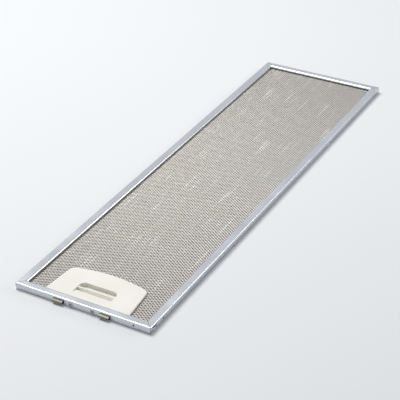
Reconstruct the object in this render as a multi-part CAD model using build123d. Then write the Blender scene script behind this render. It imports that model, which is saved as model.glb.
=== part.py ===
"""Grease filter of a cooker hood: a channel frame around a pack of expanded aluminium mesh.

The filter lies flat with its visible side up. The long axis is Y, the edge with the
grip plate and the spring catches faces -Y, and the origin is the centre of the underside.
"""
import os
from math import atan2, degrees, radians, tan

from build123d import *

# Frame, rolled from one aluminium strip; all sizes are in millimetres
frame_width = 160.0
frame_length = 570.0
frame_height = 8.0
strip = 0.8
flange = 9.2
lip_drop = 4.0
lip_radius = 2.4
bend_radius = 1.0
mitre_gap = 0.4

# Filter pack, clamped between the inner lip and the lower flange
pack_inset = 3.6
mesh_thickness = 0.7
inner_layers = 3
strand_angle = 33.5
strand_pitch = 7.2
strand_gap = 2.6
inner_pitch = 43.2
zone_margin = 1.2
smallest_gap = 12.0

# Grip plate with its finger pocket
plate_half_base = 50.0
plate_half_far = 46.0
plate_side = 43.0
plate_depth = 49.5
plate_corner = 8.0
plate_thickness = 2.2
plate_edge = 0.6
plate_clearance = 0.3
pocket_half = 22.0
scoop_front = 13.8
tray_front = 16.5
pocket_rear = 35.5
pocket_corner = 6.0
pocket_wall = 1.2
pocket_floor = 1.6
pocket_base = 0.3
pocket_clearance = 0.6
ramp_knee = 21.0
knee_drop = 1.2
ramp_foot = 27.0
bar_setback = 27.1
bar_width = 2.4
bar_height = 2.4
bar_round = 0.8
bar_drop = 0.4
lug_length = 10.0
lug_reach = 2.4

# Spring strip with its two catches, riveted behind the front wall
spring_sheet = 0.5
spring_half = 35.0
spring_height = 5.2
spring_band = 1.3
catch_offset = 27.5
catch_width = 11.4
catch_point = 3.7
catch_height = 3.3
catch_bend = 0.7
window_margin = 0.6
window_headroom = 0.5
window_footroom = 0.2
rivet_offset = 12.8
rivet_head_radius = 2.5
rivet_head_height = 0.9
rivet_crown_radius = 1.7
rivet_shank_radius = 1.6
rivet_bore_radius = 0.8
rivet_tail_radius = 2.3
rivet_tail_height = 0.8
rivet_clearance = 0.3

# Corner angle that closes the strip at the front right corner
angle_sheet = 1.0
angle_leg = 30.0
angle_margin = 1.2
angle_bend = 1.4
clinch_front = 19.5
clinch_side = 24.5
clinch_bore = 1.0
clinch_collar = 1.7
clinch_length = 1.3
clinch_clearance = 0.3
corner_window_start = 4.0
corner_window_length = 7.5
corner_window_height = 3.8
corner_rim = 1.1

# Derived positions
front = -frame_length / 2
right = frame_width / 2
middle = frame_height / 2
pack_base = strip
pack_top = frame_height - lip_drop
inner_thickness = (pack_top - pack_base - 2 * mesh_thickness) / inner_layers
plate_top = pack_top + plate_thickness
wall_inside = front + strip
spring_low = middle - spring_height / 2
spring_high = middle + spring_height / 2
window_base = spring_low - window_footroom
window_top = spring_high - spring_band + window_headroom
window_width = catch_width + 2 * window_margin
rivet_hole_radius = rivet_shank_radius + rivet_clearance
corner_base = middle - corner_window_height / 2
corner_top = middle + corner_window_height / 2
front_plane = Plane(origin=(0, front, 0), x_dir=(1, 0, 0), z_dir=(0, -1, 0))
right_plane = Plane(origin=(right, 0, 0), x_dir=(0, 1, 0), z_dir=(1, 0, 0))


def frame_section():
    """Channel section: wall, lower flange, upper flange and the lip turned down onto the mesh."""
    outline = Polyline(
        (flange, 0), (0, 0), (0, frame_height), (flange, frame_height),
        (flange, pack_top), (flange - strip, pack_top),
        (flange - strip, frame_height - strip), (strip, frame_height - strip),
        (strip, strip), (flange, strip), close=True,
    )
    section = make_face(outline)
    bends = (
        ((0, 0), bend_radius),
        ((0, frame_height), bend_radius),
        ((flange, frame_height), lip_radius),
        ((flange - strip, frame_height - strip), lip_radius - strip),
    )
    for bend, radius in bends:
        corner = section.vertices().sort_by_distance((*bend, 0))[0]
        section = fillet(corner, radius)
    return section


def wall_box(width, y_from, y_to, z_from, z_to, x=0.0):
    """Block used to punch a window through the front wall or a part behind it."""
    place = Pos(x, (y_from + y_to) / 2, (z_from + z_to) / 2)
    return place * Box(width, y_to - y_from, z_to - z_from)


def side_box(length, y_from, z_from, z_to):
    """Block used to punch a window through the right wall and the angle behind it."""
    depth = 4 * strip
    place = Pos(right - strip, y_from + length / 2, (z_from + z_to) / 2)
    return place * Box(2 * depth, length, z_to - z_from)


def bore(plane, along, height, radius, reach):
    """Round hole that starts at the outer face of a wall and runs inward."""
    return extrude(plane * Pos(along, height) * Circle(radius), -reach)


def rail(length):
    """One side of the frame along X, its wall at y = 0, with both ends cut to a mitre."""
    along_x = Plane(origin=(0, 0, 0), x_dir=(0, 1, 0), z_dir=(1, 0, 0))
    bar = extrude(along_x * frame_section(), length / 2, both=True)
    half, inner = length / 2, length / 2 - flange
    plan = make_face(Polyline((-half, 0), (half, 0), (inner, flange), (-inner, flange), close=True))
    return bar & extrude(plan, frame_height)


def mitre_slit(x_side, y_side, setback):
    """Thin cut along the diagonal of one corner, starting a setback inside both walls."""
    start = Pos(x_side * (right - setback), y_side * (-front - setback), middle)
    inward = degrees(atan2(-y_side, -x_side))
    from_end = (Align.MIN, Align.CENTER, Align.CENTER)
    return start * Rot(0, 0, inward) * Box(2 * flange, mitre_gap, 2 * frame_height, align=from_end)


def frame_body():
    ends, sides = rail(frame_width), rail(frame_length)
    body = Pos(0, front, 0) * ends + Pos(0, -front, 0) * Rot(0, 0, 180) * ends
    body += Pos(right, 0, 0) * Rot(0, 0, 90) * sides
    body += Pos(-right, 0, 0) * Rot(0, 0, -90) * sides

    # The flanges are notched and meet at a mitre; the wall is folded round three corners
    for x_side in (-1, 1):
        for y_side in (-1, 1):
            closing = x_side == 1 and y_side == -1
            setback = 0 if closing else strip + bend_radius
            body -= mitre_slit(x_side, y_side, setback)

    # Windows for the catches, holes for the rivets, clinched collars, and the corner window
    for side in (-1, 1):
        body -= wall_box(window_width, front, wall_inside, window_base, window_top, side * catch_offset)
        body -= bore(front_plane, side * rivet_offset, middle, rivet_hole_radius, strip)
    for plane, along in ((front_plane, right - clinch_front), (right_plane, front + clinch_side)):
        body += bore(plane, along, middle, clinch_collar, strip + clinch_length)
        body -= bore(plane, along, middle, clinch_bore, strip + clinch_length)
    body -= side_box(corner_window_length, front + corner_window_start, corner_base, corner_top)
    return body


def plate_outline():
    """Grip plate seen from above: slanted sides, rounded corners and a bowed far edge."""
    base = front + flange + plate_clearance
    corner = base + plate_side
    sides = Polyline(
        (plate_half_far, corner), (plate_half_base, base),
        (-plate_half_base, base), (-plate_half_far, corner),
    )
    bow = ThreePointArc((-plate_half_far, corner), (0, base + plate_depth), (plate_half_far, corner))
    outline = make_face(Curve() + [sides, bow])
    return fillet(outline.vertices().sort_by(Axis.Y)[-2:], plate_corner)


def pocket_outline(start, margin=0.0):
    """Finger pocket or its tray seen from above, from its start behind the wall, grown by a margin."""
    length = pocket_rear - start
    centre = front + (start + pocket_rear) / 2
    shape = RectangleRounded(2 * (pocket_half + margin), length + 2 * margin, pocket_corner + margin)
    return Pos(0, centre) * shape


def pocket_hollow():
    """Space for the fingertips: a ramp that steepens, a flat floor and an upright wall at the back."""
    y_front, y_rear = front + scoop_front, front + pocket_rear
    over = plate_top + 1
    outline = Polyline(
        (y_rear, pocket_floor), (y_rear, over), (y_front, over),
        (y_front, plate_top - plate_edge / 2), (front + ramp_knee, plate_top - knee_drop),
        (front + ramp_foot, pocket_floor), close=True,
    )
    section = make_face(Plane.YZ * outline)
    hollow = extrude(section, pocket_half, both=True)
    return hollow & extrude(pocket_outline(scoop_front), frame_height * 2)


def handle_plate():
    plate = extrude(Pos(0, 0, pack_top) * plate_outline(), plate_thickness)
    plate = chamfer(plate.faces().sort_by(Axis.Z)[-1].edges(), plate_edge)
    tray = extrude(Pos(0, 0, pocket_base) * pocket_outline(tray_front, pocket_wall), pack_top - pocket_base)
    body = plate + tray - pocket_hollow()
    bar_middle = plate_top - bar_drop - bar_height / 2
    bar_section = RectangleRounded(bar_width, bar_height, bar_round)
    bar = Plane.YZ * Pos(front + bar_setback, bar_middle) * bar_section
    body += extrude(bar, pocket_half + pocket_wall / 2, both=True)

    # Snap lugs under the rear mesh hold the plate to the pack
    lug_middle = front + (tray_front + pocket_rear) / 2
    lug_height = pack_base - pocket_base
    for side in (-1, 1):
        place = Pos(side * (pocket_half + lug_reach / 2), lug_middle, pocket_base + lug_height / 2)
        body += place * Box(lug_reach + 2 * pocket_wall, lug_length, lug_height)
    return body


def pack_layer(base, thickness, angle, pitch):
    """One sheet of the pack: slanted strands with open gaps, cut out around the finger pocket."""
    width, length = frame_width - 2 * pack_inset, frame_length - 2 * pack_inset
    open_width = frame_width - 2 * (flange + zone_margin)
    open_length = frame_length - 2 * (flange + zone_margin)
    land = offset(plate_outline(), -2 * zone_margin)
    zone = Rectangle(open_width, open_length) - land
    sheet = Rectangle(width, length) - pocket_outline(tray_front, pocket_wall + pocket_clearance)

    reach = open_length / 2 + open_width / 2 * tan(radians(strand_angle))
    count = int(2 * reach / pitch)
    gaps = []
    for index in range(count):
        y = (index - (count - 1) / 2) * pitch
        gap = zone & Pos(0, y) * Rot(0, 0, angle) * Rectangle(open_width * 2, strand_gap)
        gaps += [face for face in gap.faces() if face.area > smallest_gap]
    return extrude(Pos(0, 0, base) * (sheet - gaps), thickness)


def catch_spring():
    """Flat steel strip with two tongues bent out through the wall as V-shaped catches."""
    y_from, y_to = wall_inside, wall_inside + spring_sheet
    hinge = spring_high - spring_band
    body = wall_box(2 * catch_offset - window_width, y_from, y_to, spring_low, spring_high)
    body += wall_box(2 * spring_half, y_from, y_to, hinge, spring_high)
    y_mid = (y_from + y_to) / 2
    bend = FilletPolyline(
        (y_mid, spring_high - spring_sheet), (y_mid, hinge),
        (front - catch_point, catch_height), (front + strip / 2, spring_low + spring_sheet / 2),
        radius=catch_bend,
    )
    tongue = extrude(Plane.YZ * trace(bend, spring_sheet), catch_width / 2, both=True)
    for side in (-1, 1):
        body += Pos(side * catch_offset, 0, 0) * tongue
        body -= bore(front_plane, side * rivet_offset, middle, rivet_hole_radius, strip + spring_sheet)
    return body


def spring_rivet():
    """Tubular rivet: tapered head outside the wall, shank, and a tail rolled out behind the spring."""
    tail = -strip - spring_sheet
    half = Polyline(
        (rivet_bore_radius, rivet_head_height), (rivet_bore_radius, tail - rivet_tail_height),
        (rivet_tail_radius, tail), (rivet_shank_radius, tail), (rivet_shank_radius, 0),
        (rivet_head_radius, 0), (rivet_crown_radius, rivet_head_height), close=True,
    )
    return revolve(Plane.XZ * make_face(half), Axis.Z)


def spring_rivets():
    rivet = spring_rivet()
    return [Pos(side * rivet_offset, front, middle) * Rot(90, 0, 0) * rivet for side in (-1, 1)]


def corner_angle():
    """Folded aluminium angle behind the front and right walls, pierced for the clinched collars."""
    x_mid, y_mid = right - strip - angle_sheet / 2, wall_inside + angle_sheet / 2
    fold = FilletPolyline(
        (right - angle_leg, y_mid), (x_mid, y_mid), (x_mid, front + angle_leg), radius=angle_bend
    )
    base, height = angle_margin, frame_height - 2 * angle_margin
    body = extrude(Pos(0, 0, base) * trace(fold, angle_sheet), height)
    for plane, along in ((front_plane, right - clinch_front), (right_plane, front + clinch_side)):
        body -= bore(plane, along, middle, clinch_collar + clinch_clearance, strip + 2 * angle_sheet)
    start = front + corner_window_start + corner_rim
    body -= side_box(corner_window_length - 2 * corner_rim, start, corner_base + corner_rim, corner_top)
    return body


os.makedirs("parts", exist_ok=True)
export_step(frame_body(), "parts/frame.step")
export_step(corner_angle(), "parts/corner_angle.step")
export_step(handle_plate(), "parts/handle_plate.step")
export_step(catch_spring(), "parts/catch_spring.step")
export_step(Compound(children=spring_rivets()), "parts/spring_rivets.step")

# The pack from the underside up; strands cross from one sheet to the next
export_step(pack_layer(pack_base, mesh_thickness, strand_angle, strand_pitch), "parts/rear_mesh.step")
for number in range(inner_layers):
    layer_base = pack_base + mesh_thickness + number * inner_thickness
    layer_angle = strand_angle if number % 2 else -strand_angle
    layer = pack_layer(layer_base, inner_thickness, layer_angle, inner_pitch)
    export_step(layer, f"parts/inner_layer_{number + 1}.step")
front_base = pack_top - mesh_thickness
export_step(pack_layer(front_base, mesh_thickness, -strand_angle, strand_pitch), "parts/front_mesh.step")
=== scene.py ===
import math

import bmesh
import bpy
from mathutils import Matrix, Vector


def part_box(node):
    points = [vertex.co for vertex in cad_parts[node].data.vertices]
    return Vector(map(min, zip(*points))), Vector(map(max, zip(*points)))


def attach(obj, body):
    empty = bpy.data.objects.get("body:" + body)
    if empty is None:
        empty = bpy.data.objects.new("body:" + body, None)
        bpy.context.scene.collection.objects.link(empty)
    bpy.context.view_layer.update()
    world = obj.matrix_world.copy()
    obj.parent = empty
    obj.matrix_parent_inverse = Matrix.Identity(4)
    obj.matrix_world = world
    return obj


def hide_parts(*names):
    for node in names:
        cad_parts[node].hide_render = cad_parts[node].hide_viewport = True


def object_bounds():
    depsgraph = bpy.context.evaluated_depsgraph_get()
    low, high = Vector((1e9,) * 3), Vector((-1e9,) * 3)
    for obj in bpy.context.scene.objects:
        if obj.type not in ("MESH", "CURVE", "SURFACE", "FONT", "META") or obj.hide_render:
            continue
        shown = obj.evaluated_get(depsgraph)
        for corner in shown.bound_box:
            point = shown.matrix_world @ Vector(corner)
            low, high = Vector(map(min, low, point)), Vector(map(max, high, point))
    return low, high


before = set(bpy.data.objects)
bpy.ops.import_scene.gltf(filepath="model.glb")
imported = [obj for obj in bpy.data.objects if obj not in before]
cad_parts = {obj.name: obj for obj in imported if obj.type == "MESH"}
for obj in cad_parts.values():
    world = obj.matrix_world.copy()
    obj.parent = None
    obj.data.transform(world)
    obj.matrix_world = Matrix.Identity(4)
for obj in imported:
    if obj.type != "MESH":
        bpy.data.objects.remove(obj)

cad_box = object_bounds()


# Frame: one strip of aluminium, rolled to a channel, notched and folded round three corners.
# Its upper flange ends in a lip that is turned down onto the mesh.
def srgb(hex_colour):
    """An sRGB hex colour as the linear values that a shader socket takes."""
    channels = [int(hex_colour[i:i + 2], 16) / 255 for i in (1, 3, 5)]
    linear = [c / 12.92 if c <= 0.04045 else ((c + 0.055) / 1.055) ** 2.4 for c in channels]
    return (*linear, 1.0)


def add_node(tree, kind, settings=None, links=None):
    """Adds a shader node, sets its properties and sockets, and links sockets to others."""
    node = tree.nodes.new(kind)
    for key, value in (settings or {}).items():
        if isinstance(key, str) and hasattr(node, key):
            setattr(node, key, value)
        else:
            node.inputs[key].default_value = value
    for socket, source in (links or {}).items():
        tree.links.new(source, node.inputs[socket])
    return node


def per_metre(millimetres):
    """How often a pattern of this size repeats in a metre."""
    return 1000.0 / millimetres


def new_finish(name, colour, metallic, roughness):
    """A material with its mean values on the shader's own sockets, its node tree and its shader."""
    finish = bpy.data.materials.new(name)
    finish.use_nodes = True
    shader = finish.node_tree.nodes["Principled BSDF"]
    shader.inputs["Base Color"].default_value = srgb(colour)
    shader.inputs["Metallic"].default_value = metallic
    shader.inputs["Roughness"].default_value = roughness
    return finish, finish.node_tree, shader


def dress(node_name, finish):
    """Gives a CAD solid its finish."""
    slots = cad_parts[node_name].data.materials
    slots.clear()
    slots.append(finish)


# Mill-finish rolled aluminium: a cool satin metal with faint streaks along each rail, which
# stretch the reflections a little, and small soft stains from handling.
rolled_aluminium, tree, shader = new_finish("rolled_aluminium", "#CDD0D4", 1.0, 0.25)
place = add_node(tree, "ShaderNodeTexCoord").outputs["Object"]
axes = add_node(tree, "ShaderNodeSeparateXYZ", links={0: place})
# The corners are mitred, so a long rail is where a side of the frame is nearer than an end
half_width, half_length = cad_box[1].x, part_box("frame")[1].y
off_middle_x = add_node(tree, "ShaderNodeMath", {"operation": "ABSOLUTE"}, {0: axes.outputs["X"]})
off_middle_y = add_node(tree, "ShaderNodeMath", {"operation": "ABSOLUTE"}, {0: axes.outputs["Y"]})
past_mitre = add_node(tree, "ShaderNodeMath", {"operation": "SUBTRACT"},
                      {0: off_middle_x.outputs[0], 1: off_middle_y.outputs[0]})
on_long_rail = add_node(tree, "ShaderNodeMath",
                        {"operation": "GREATER_THAN", 1: half_width - half_length},
                        {0: past_mitre.outputs[0]})
across_streak, along_streak = per_metre(1.1), per_metre(70.0)
along_y = add_node(tree, "ShaderNodeMapping", {"Scale": (across_streak, along_streak, across_streak)},
                   {"Vector": place})
along_x = add_node(tree, "ShaderNodeMapping", {"Scale": (along_streak, across_streak, across_streak)},
                   {"Vector": place})
# A mix node has sockets of the same name for each type, so those for vectors go by number
first_vector, second_vector, mixed_vector = 4, 5, 1
direction = add_node(tree, "ShaderNodeMix", {"data_type": "VECTOR"},
                     {"Factor": on_long_rail.outputs[0],
                      first_vector: along_x.outputs[0], second_vector: along_y.outputs[0]})
streaks = add_node(tree, "ShaderNodeTexNoise", {"Scale": 1.0, "Detail": 3.0},
                   {"Vector": direction.outputs[mixed_vector]})
satin = add_node(tree, "ShaderNodeMapRange",
                 {"From Min": 0.3, "From Max": 0.7, "To Min": 0.2, "To Max": 0.26},
                 {"Value": streaks.outputs[0]})
handling = add_node(tree, "ShaderNodeTexNoise", {"Scale": per_metre(45.0), "Detail": 4.0},
                    {"Vector": place})
blotches = add_node(tree, "ShaderNodeMapRange",
                    {"From Min": 0.35, "From Max": 0.7, "To Min": -0.05, "To Max": 0.09},
                    {"Value": handling.outputs[0]})
roughness = add_node(tree, "ShaderNodeMath", {"operation": "ADD"},
                     {0: satin.outputs[0], 1: blotches.outputs[0]})
tree.links.new(roughness.outputs[0], shader.inputs["Roughness"])
dress("frame", rolled_aluminium)

# Corner angle: a short folded strip of the same aluminium behind the closed corner, held by
# collars that are pressed out of both walls.
dress("corner_angle", rolled_aluminium)


# Front mesh: aluminium sheet, slit and stretched into diamonds, so that each strand runs zigzag
# across the filter and stands at a slant. Its edge is clamped under the lip of the frame.
def zigzag_strands(bm, low, high, diamonds, rows, strand_width, sheet, slant, turned=False):
    """Fills the box from low to high with zigzag strands that meet at their bonds.

    There are so many diamonds along each strand, in so many rows side by side. A strand runs
    along X, or along Y where the sheet is turned.
    """
    run, stack = (high - low).xy if not turned else (high - low).yx
    half_long, half_short = run / diamonds / 2, stack / rows / 2
    # At a bond two strands overlap: their middles are this share of a strand's width apart
    bond_share = 0.55
    reach = half_short - strand_width * bond_share
    tilt = Matrix.Rotation(math.radians(slant), 3, "X")
    section = [tilt @ Vector((0, y * strand_width / 2, z * sheet / 2))
               for y, z in ((-1, -1), (1, -1), (1, 1), (-1, 1))]
    for phase in (1, -1):
        row = half_short / 2 if phase == 1 else half_short * 1.5
        start = Vector((-run / 2, row - phase * reach / 2, 0))
        end = bm.faces.new([bm.verts.new(start + corner) for corner in section])
        for step in range(2 * diamonds):
            rise = phase * reach * (1 if step % 2 == 0 else -1)
            grown = bmesh.ops.extrude_face_region(bm, geom=[end])["geom"]
            tip = [g for g in grown if isinstance(g, bmesh.types.BMVert)]
            bmesh.ops.translate(bm, verts=tip, vec=(half_long, rise, 0))
            # Past the first step, the face that the strand grew from would be left inside it
            if step > 0:
                bmesh.ops.delete(bm, geom=[end], context="FACES_ONLY")
            end = next(g for g in grown if isinstance(g, bmesh.types.BMFace))
    base = bm.verts[:] + bm.edges[:] + bm.faces[:]
    for number in range(1, rows):
        copy = bmesh.ops.duplicate(bm, geom=base)["geom"]
        moved = [g for g in copy if isinstance(g, bmesh.types.BMVert)]
        bmesh.ops.translate(bm, verts=moved, vec=(0, number * 2 * half_short, 0))
    bmesh.ops.translate(bm, verts=bm.verts, vec=(0, -stack / 2, 0))
    if turned:
        bmesh.ops.rotate(bm, verts=bm.verts, matrix=Matrix.Rotation(math.pi / 2, 3, "Z"))
    bmesh.ops.translate(bm, verts=bm.verts, vec=(low + high) / 2)


def clear_of_pocket(bm):
    """Cuts the strands away where the finger pocket goes through the pack."""
    window_half, window_front, window_rear = 0.0238, 0.0147, 0.0373
    longest_section_edge = 0.0015
    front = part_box("frame")[0].y
    inside = {v for v in bm.verts
              if abs(v.co.x) < window_half and window_front < v.co.y - front < window_rear}
    # A section that reaches into the window goes as a whole, so that each strand ends square.
    # Its far corner is two edges away.
    for _ in range(2):
        inside |= {edge.other_vert(v) for v in inside for edge in v.link_edges
                   if edge.calc_length() < longest_section_edge}
    bmesh.ops.delete(bm, geom=list(inside), context="VERTS")
    lone_sections = [v for v in bm.verts if not v.link_faces]
    bmesh.ops.delete(bm, geom=lone_sections, context="VERTS")
    bmesh.ops.holes_fill(bm, edges=bm.edges, sides=4)


def finish_piece(name, bm, finish, slot_name, *replaced):
    """Makes a mesh object of a bmesh, which stands for CAD solids and rides on the root."""
    bmesh.ops.recalc_face_normals(bm, faces=bm.faces)
    mesh = bpy.data.meshes.new(name)
    bm.to_mesh(mesh)
    bm.free()
    piece = bpy.data.objects.new(name, mesh)
    bpy.context.scene.collection.objects.link(piece)
    mesh.materials.append(finish)
    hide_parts(*replaced)
    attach(piece, "root")


# Stretched aluminium: slightly warm and duller than the frame, because the strands are torn
# and twisted. A few bright streaks along the sheet are painted highlights.
stretched_aluminium, tree, shader = new_finish("stretched_aluminium", "#8F8C87", 1.0, 0.5)
place = add_node(tree, "ShaderNodeTexCoord").outputs["Object"]
sheet_run = add_node(tree, "ShaderNodeMapping",
                     {"Scale": (per_metre(1.3), per_metre(60.0), per_metre(60.0))},
                     {"Vector": place})
painted_highlight_streaks = add_node(tree, "ShaderNodeTexNoise", {"Scale": 1.0, "Detail": 0.0},
                      {"Vector": sheet_run.outputs[0]})
# Where the noise is high the strands turn bright: painted highlights in streaks along the sheet
tone = add_node(tree, "ShaderNodeValToRGB", links={0: painted_highlight_streaks.outputs[0]})
for stop, position, colour in zip(tone.color_ramp.elements, (0.7, 0.82), ("#8D8A85", "#AEACA8")):
    stop.position = position
    stop.color = srgb(colour)
tree.links.new(tone.outputs[0], shader.inputs["Base Color"])
tears = add_node(tree, "ShaderNodeTexNoise", {"Scale": per_metre(0.9), "Detail": 2.0},
                 {"Vector": place})
dull = add_node(tree, "ShaderNodeMapRange",
                {"From Min": 0.3, "From Max": 0.7, "To Min": 0.42, "To Max": 0.56},
                {"Value": tears.outputs[0]})
tree.links.new(dull.outputs[0], shader.inputs["Roughness"])

# The real diamonds are about 4.8 by 3.2 mm: they are drawn a little larger, so that they show
diamonds_across, diamond_rows = 30, 168
strand_width, sheet_thickness, strand_slant = 0.00092, 0.00040, 21.0
bm = bmesh.new()
zigzag_strands(bm, *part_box("front_mesh"), diamonds_across, diamond_rows,
               strand_width, sheet_thickness, strand_slant)
clear_of_pocket(bm)
finish_piece("front_expanded_mesh", bm, stretched_aluminium, "mesh", "front_mesh")

# Rear mesh: the same stretched aluminium on the underside of the pack, turned over, so that its
# strands slant the other way. Its edge lies on the lower flange of the frame.
bm = bmesh.new()
zigzag_strands(bm, *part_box("rear_mesh"), diamonds_across, diamond_rows,
               strand_width, sheet_thickness, -strand_slant)
clear_of_pocket(bm)
finish_piece("rear_expanded_mesh", bm, stretched_aluminium, "mesh", "rear_mesh")

# Inner layers: mesh of thinner aluminium foil, laid crossways to catch the grease and clamped
# between the outer sheets. The middle one is only seen as a dark ground, which is painted shade.
# Aluminium foil, painted darker as shade inside the pack, and rougher than the outer mesh.
foil_mesh, tree, shader = new_finish("foil_mesh", "#5B5650", 1.0, 0.55)
place = add_node(tree, "ShaderNodeTexCoord").outputs["Object"]
crumple = add_node(tree, "ShaderNodeTexNoise", {"Scale": per_metre(4.0), "Detail": 4.0},
                   {"Vector": place})
relief = add_node(tree, "ShaderNodeBump", {"Strength": 0.5, "Distance": 0.0003},
                  {"Height": crumple.outputs[0]})
tree.links.new(relief.outputs[0], shader.inputs["Normal"])
# Painted shade: where the crumple's relief is low, in its hollows, the foil is darker
shade = add_node(tree, "ShaderNodeValToRGB", links={0: crumple.outputs[0]})
for stop, position, colour in zip(shade.color_ramp.elements, (0.3, 0.7), ("#4A4540", "#6E6862")):
    stop.position = position
    stop.color = srgb(colour)
tree.links.new(shade.outputs[0], shader.inputs["Base Color"])

foil_diamonds, foil_rows = 92, 44
foil_strand_width, foil_thickness, foil_slant = 0.0008, 0.0002, 20.0
for node_name, slant in (("inner_layer_1", foil_slant), ("inner_layer_3", -foil_slant)):
    bm = bmesh.new()
    zigzag_strands(bm, *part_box(node_name), foil_diamonds, foil_rows,
                   foil_strand_width, foil_thickness, slant, turned=True)
    clear_of_pocket(bm)
    finish_piece("foil_" + node_name, bm, foil_mesh, "foil", node_name)
dress("inner_layer_2", foil_mesh)

# Grip plate: one plastic moulding with a finger pocket and a grip bar, snapped to the pack from
# the front. Its front edge butts against the lip of the frame.
# Moulded ABS, cream white: a fine matt texture from the mould and a slight unevenness of tone.
moulded_abs, tree, shader = new_finish("moulded_abs", "#EFECE3", 0.0, 0.5)
place = add_node(tree, "ShaderNodeTexCoord").outputs["Object"]
# The mould's grain is finer than a pixel, so it is drawn at 0.5 mm
grain = add_node(tree, "ShaderNodeTexNoise", {"Scale": per_metre(0.5), "Detail": 2.0},
                 {"Vector": place})
relief = add_node(tree, "ShaderNodeBump", {"Strength": 0.15, "Distance": 0.0001},
                  {"Height": grain.outputs[0]})
tree.links.new(relief.outputs[0], shader.inputs["Normal"])
ageing = add_node(tree, "ShaderNodeTexNoise", {"Scale": per_metre(35.0), "Detail": 3.0},
                  {"Vector": place})
cream = add_node(tree, "ShaderNodeValToRGB", links={0: ageing.outputs[0]})
for stop, position, colour in zip(cream.color_ramp.elements, (0.3, 0.7), ("#ECE9E0", "#F2EFE7")):
    stop.position = position
    stop.color = srgb(colour)
tree.links.new(cream.outputs[0], shader.inputs["Base Color"])
dress("handle_plate", moulded_abs)

# Catch spring: a strip of hardened steel, riveted behind the front wall, with two tongues bent
# out through windows in the wall.
# Blue-black rolled spring steel, rubbed bright: grey-brown with fine streaks along the strip.
spring_steel, tree, shader = new_finish("spring_steel", "#77716A", 1.0, 0.45)
place = add_node(tree, "ShaderNodeTexCoord").outputs["Object"]
strip = add_node(tree, "ShaderNodeMapping",
                 {"Scale": (per_metre(9.0), per_metre(0.35), per_metre(0.35))}, {"Vector": place})
rolling = add_node(tree, "ShaderNodeTexNoise", {"Scale": 1.0, "Detail": 3.0},
                   {"Vector": strip.outputs[0]})
rubbed = add_node(tree, "ShaderNodeValToRGB", links={0: rolling.outputs[0]})
for stop, position, colour in zip(rubbed.color_ramp.elements, (0.3, 0.7), ("#625C55", "#8B857D")):
    stop.position = position
    stop.color = srgb(colour)
tree.links.new(rubbed.outputs[0], shader.inputs["Base Color"])
dress("catch_spring", spring_steel)

# Spring rivets: two tubular aluminium rivets, set through the front wall and the spring strip,
# which they hold to the wall.
# Turned aluminium, dulled: darker than the wall, so that the heads stand out.
rivet_aluminium, tree, shader = new_finish("rivet_aluminium", "#A3A5A7", 1.0, 0.4)
place = add_node(tree, "ShaderNodeTexCoord").outputs["Object"]
scuffs = add_node(tree, "ShaderNodeTexNoise", {"Scale": per_metre(0.8), "Detail": 3.0},
                  {"Vector": place})
worn = add_node(tree, "ShaderNodeMapRange",
                {"From Min": 0.3, "From Max": 0.7, "To Min": 0.3, "To Max": 0.55},
                {"Value": scuffs.outputs[0]})
tree.links.new(worn.outputs[0], shader.inputs["Roughness"])
dress("spring_rivets", rivet_aluminium)

# Studio: a plain pale floor under the filter, a high soft lamp on its left, two weaker ones low
# in front and behind on the right, which draw the bends, and an even pale surround.
floor_size = 6.0
bm = bmesh.new()
bmesh.ops.create_grid(bm, x_segments=1, y_segments=1, size=floor_size / 2)
bmesh.ops.translate(bm, verts=bm.verts, vec=(0, 0, cad_box[0].z))
mesh = bpy.data.meshes.new("studio_floor")
bm.to_mesh(mesh)
bm.free()
studio_floor = bpy.data.objects.new("studio_floor", mesh)
bpy.context.scene.collection.objects.link(studio_floor)
pale_floor, *_ = new_finish("pale_floor", "#E6E8EA", 0.0, 0.6)
mesh.materials.append(pale_floor)

world = bpy.data.worlds.new("studio")
bpy.context.scene.world = world
world.use_nodes = True
tree = world.node_tree
sky = tree.nodes["Background"]
sky.inputs["Color"].default_value = srgb("#EDEFF2")
# The camera and the metal see a pale surround, which gives less of the light than the lamps
rays = add_node(tree, "ShaderNodeLightPath")
shown = add_node(tree, "ShaderNodeMath", {"operation": "MAXIMUM"},
                 {0: rays.outputs["Is Camera Ray"], 1: rays.outputs["Is Glossy Ray"]})
surround = add_node(tree, "ShaderNodeMapRange", {"To Min": 0.34, "To Max": 0.9},
                    {"Value": shown.outputs[0]})
tree.links.new(surround.outputs[0], sky.inputs["Strength"])

for name, spot, width, height, power in (("side_lamp", (-0.85, 0.28, 1.84), 0.9, 1.1, 33.0),
                                         ("front_lamp", (-0.5, -2.2, 0.42), 1.4, 0.35, 2.8),
                                         ("rear_lamp", (1.5, 1.3, 0.9), 0.9, 0.6, 9.0)):
    lamp = bpy.data.lights.new(name, "AREA")
    lamp.shape = "RECTANGLE"
    lamp.size, lamp.size_y = width, height
    lamp.energy = power
    holder = bpy.data.objects.new(name, lamp)
    holder.location = spot
    holder.rotation_euler = (-holder.location).to_track_quat("-Z", "Y").to_euler()
    bpy.context.scene.collection.objects.link(holder)

# Camera: where the photograph was taken from. Its angles in degrees, its distance and its focal
# length come from a fit to the edges of the frame.
azimuth, elevation, roll = 29.762, 32.174, -1.017
view_distance, view_target = 1.4373, Vector((0.00914, -0.06054, 0.008))
focal_pixels, image_pixels = 1291.7, 400
camera_data = bpy.data.cameras.new("camera")
camera_data.sensor_width = 36.0
camera_data.lens = focal_pixels / image_pixels * camera_data.sensor_width
camera_data.clip_end = 50.0
camera = bpy.data.objects.new("camera", camera_data)
turn = (Matrix.Rotation(math.radians(azimuth), 3, "Z")
        @ Matrix.Rotation(math.radians(90 - elevation), 3, "X")
        @ Matrix.Rotation(math.radians(roll), 3, "Z"))
camera.location = view_target + turn @ Vector((0, 0, view_distance))
camera.rotation_euler = turn.to_euler()
bpy.context.scene.collection.objects.link(camera)
bpy.context.scene.camera = camera
bpy.context.scene.view_settings.view_transform = "Standard"
